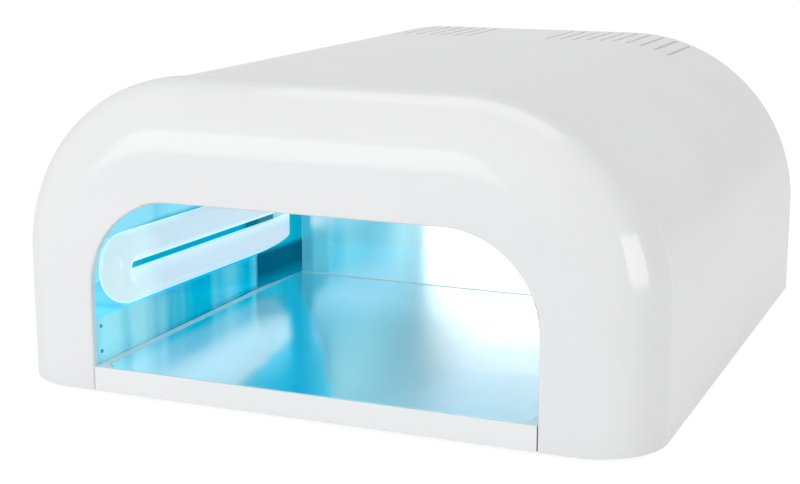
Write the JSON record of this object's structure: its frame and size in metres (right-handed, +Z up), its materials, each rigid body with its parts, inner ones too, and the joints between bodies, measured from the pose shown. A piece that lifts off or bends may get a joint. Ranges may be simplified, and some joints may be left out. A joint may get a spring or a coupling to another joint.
{
  "type": "uv nail lamp",
  "caption": "Tunnel-shaped UV nail lamp with an arched white housing, a pull-out mirror tray, U-shaped tubes and rear switches.",
  "frame": {"origin": "middle of the footprint, on the surface that the rubber feet stand on", "axes": "+X to the right seen from the open front, +Y towards the rear, +Z up; the mouth faces -Y"},
  "size_m": [0.23, 0.243, 0.1095],
  "materials": {
    "white_shell": "moulded, high gloss white",
    "white_base": "moulded, satin white",
    "foot_rubber": "matt rubber",
    "screw_steel": "zinc plated",
    "mirror_sheet": "bright rolled aluminium",
    "zinc_steel": "zinc plated sheet",
    "spring_steel": "spring steel",
    "rivet_metal": "dull aluminium",
    "brass_contacts": "bright brass",
    "black_plastic": "moulded black",
    "red_rocker": "moulded, translucent red",
    "black_rocker": "moulded black, glossy",
    "white_cap": "moulded white, heat resistant",
    "lit_tube": "coated glass, glowing",
    "board_green": "glass-fibre circuit board",
    "ferrite": "ferrite and tape",
    "capacitor_blue": "shrink sleeve",
    "film_red": "dipped resin",
    "white_lead": "insulated wire",
    "brown_lead": "insulated wire"
  },
  "bodies": {
    "lamp_body": {"back_mirror": "mirror_sheet", "ballast_board_left": "board_green", "ballast_board_right": "board_green", "ballast_capacitors": "capacitor_blue", "ballast_chokes": "ferrite", "ballast_transistors": "black_plastic", "base_frame": "white_base", "base_screws": "screw_steel", "board_screws": "screw_steel", "button_nut": "black_plastic", "button_sleeve": "black_plastic", "ceiling_bridge": "zinc_steel", "ceiling_lampholder_left": "white_cap", "ceiling_lampholder_right": "white_cap", "ceiling_mirror": "mirror_sheet", "ceiling_tube_cap_left": "white_cap", "ceiling_tube_cap_right": "white_cap", "ceiling_tube_clips": "spring_steel", "ceiling_tube_left": "lit_tube", "ceiling_tube_right": "lit_tube", "chassis_screws": "screw_steel", "film_capacitors": "film_red", "housing_shell": "white_shell", "inlet_pins": "brass_contacts", "lamp_leads": "white_lead", "lampholder_screws": "screw_steel", "mains_inlet": "black_plastic", "mains_leads": "brown_lead", "mirror_rivets": "rivet_metal", "power_switch": "black_plastic", "rubber_feet": "foot_rubber", "side_bracket_left": "zinc_steel", "side_bracket_right": "zinc_steel", "side_lampholder_left": "white_cap", "side_lampholder_right": "white_cap", "side_mirror_left": "mirror_sheet", "side_mirror_right": "mirror_sheet", "side_tube_cap_left": "white_cap", "side_tube_cap_right": "white_cap", "side_tube_left": "lit_tube", "side_tube_right": "lit_tube", "switch_blades": "brass_contacts", "tact_switch": "black_plastic", "timer_board": "board_green", "timer_board_parts": "black_plastic", "timer_board_screws": "screw_steel", "timer_leads": "white_lead", "timer_switch": "black_plastic", "tray_rail_left": "white_base", "tray_rail_right": "white_base", "tube_cap_pins": "brass_contacts"},
    "tray": {"tray": "white_shell", "tray_mirror": "mirror_sheet"},
    "power_rocker": {"power_rocker": "red_rocker"},
    "timer_rocker": {"timer_rocker": "black_rocker"},
    "start_button": {"start_button": "red_rocker"}
  },
  "joints": [
    {"name": "tray_slide", "type": "slide", "parent": "lamp_body", "child": "tray", "axis": [0, -1, 0], "range_m": [0, 0.15865]},
    {"name": "power_rocker_tilt", "type": "hinge", "parent": "lamp_body", "child": "power_rocker", "pos_m": [0.034, 0.1165, 0.0455], "axis": [-1, 0, 0], "range_deg": [0, 16]},
    {"name": "timer_rocker_tilt", "type": "hinge", "parent": "lamp_body", "child": "timer_rocker", "pos_m": [-0.012, 0.1165, 0.0455], "axis": [-1, 0, 0], "range_deg": [0, 16]},
    {"name": "start_button_press", "type": "slide", "parent": "lamp_body", "child": "start_button", "axis": [0, -1, 0], "range_m": [0, 0.002], "stiffness_N_per_m": 400}
  ]
}
